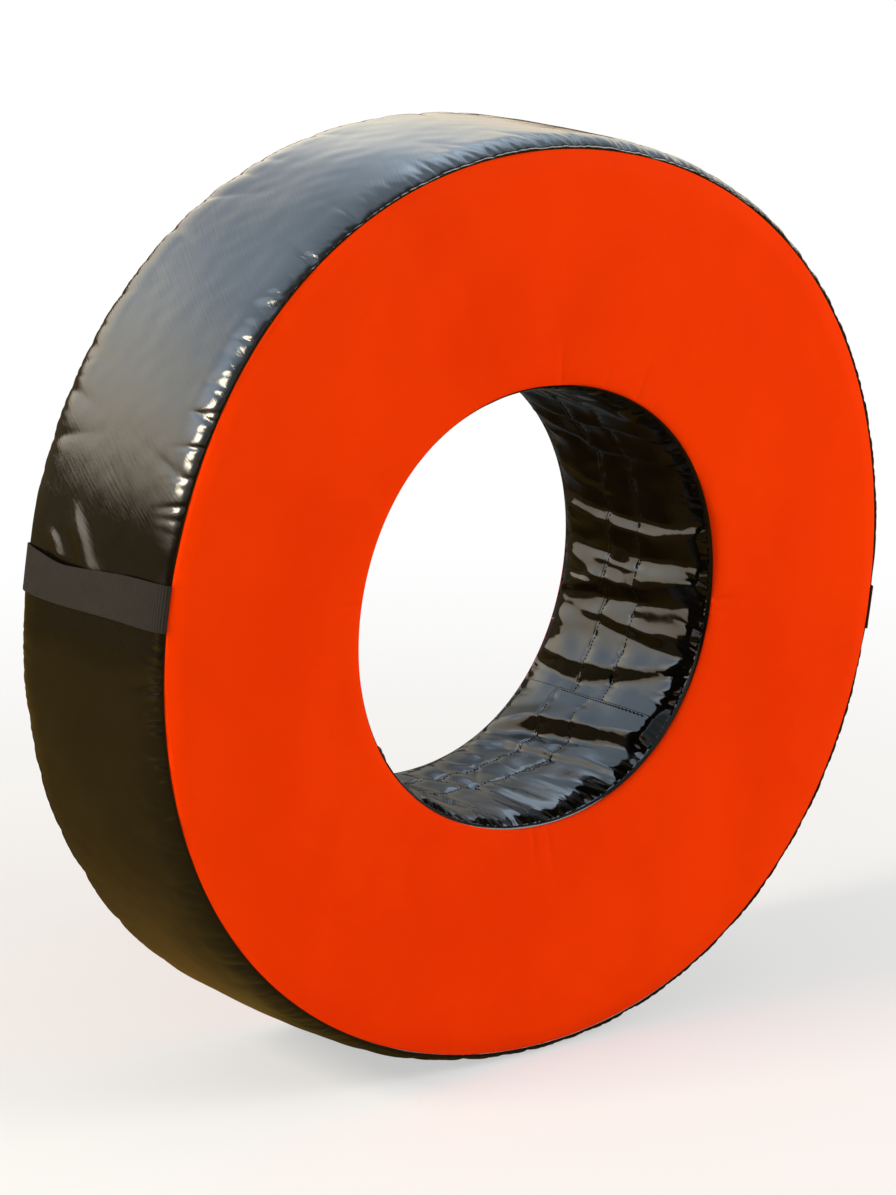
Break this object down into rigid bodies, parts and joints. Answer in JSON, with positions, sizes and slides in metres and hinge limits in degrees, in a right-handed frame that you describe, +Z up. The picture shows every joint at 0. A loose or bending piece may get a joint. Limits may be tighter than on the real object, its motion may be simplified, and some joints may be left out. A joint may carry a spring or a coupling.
{
  "type": "tackle wheel",
  "caption": "Foam-filled tackle training ring in a sewn vinyl cover, with a round bore, webbing grab handles on its outer wall and a hook-and-loop closure in the bore.",
  "frame": {"origin": "on the floor, in the middle of the flattened patch that the wheel stands on", "axes": "+Z up, the wheel's axis along Y with the orange front face towards -Y, +X to the right of someone who looks at the front face"},
  "size_m": [1.0562, 0.2772, 1.0496],
  "materials": {
    "orange_vinyl": "smooth PVC-coated fabric, satin",
    "black_vinyl": "glossy PVC-coated fabric",
    "webbing": "woven webbing",
    "closure_tape": "hook-and-loop tape",
    "foam": "open-cell foam"
  },
  "bodies": {
    "root": {"front_face_panel": "orange_vinyl", "back_face_panel": "orange_vinyl", "upper_outer_band": "black_vinyl", "lower_outer_band": "black_vinyl", "front_bore_lining_flap": "black_vinyl", "back_bore_lining": "black_vinyl", "closure_hook_tape": "closure_tape", "closure_loop_tape": "closure_tape", "left_handle_strap": "webbing", "right_handle_strap": "webbing", "front_foam_upper_right": "foam", "front_foam_upper_left": "foam", "front_foam_lower_left": "foam", "front_foam_lower_right": "foam", "middle_foam_upper_right": "foam", "middle_foam_upper_left": "foam", "middle_foam_lower_left": "foam", "middle_foam_lower_right": "foam", "back_foam_upper_right": "foam", "back_foam_upper_left": "foam", "back_foam_lower_left": "foam", "back_foam_lower_right": "foam"}
  },
  "joints": []
}
